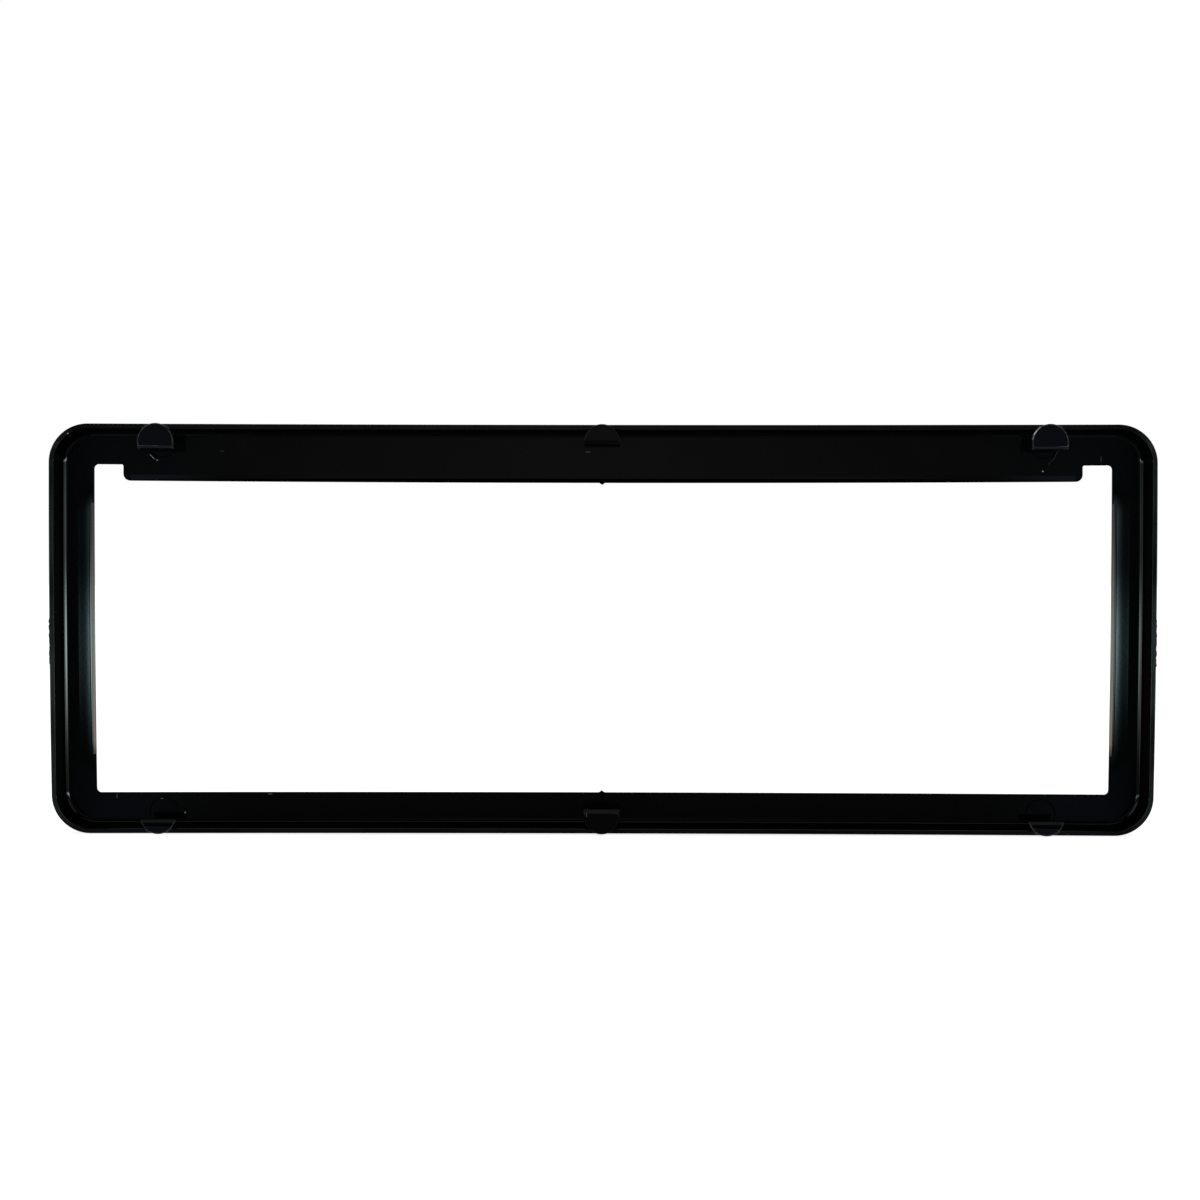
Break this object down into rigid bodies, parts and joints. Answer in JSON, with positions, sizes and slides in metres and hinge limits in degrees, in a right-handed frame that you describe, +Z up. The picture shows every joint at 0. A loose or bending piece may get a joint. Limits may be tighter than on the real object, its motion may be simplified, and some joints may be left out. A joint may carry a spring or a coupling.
{
  "type": "number plate holder",
  "caption": "One-piece moulded frame that clips over a car number plate from the front, with an open window, a rimmed wall and D-shaped clips at the back.",
  "frame": {"origin": "centre of the object's box, midway between the front face and the tops of the clips", "axes": "+X along the width, +Z up as fitted to the vehicle, +Y to the back, where the clips are and the vehicle is, so the front face looks along -Y"},
  "size_m": [0.378, 0.012, 0.1412],
  "materials": {
    "black_plastic": "deep glossy moulded black"
  },
  "bodies": {
    "root": {"plate_frame": "black_plastic"}
  },
  "joints": []
}
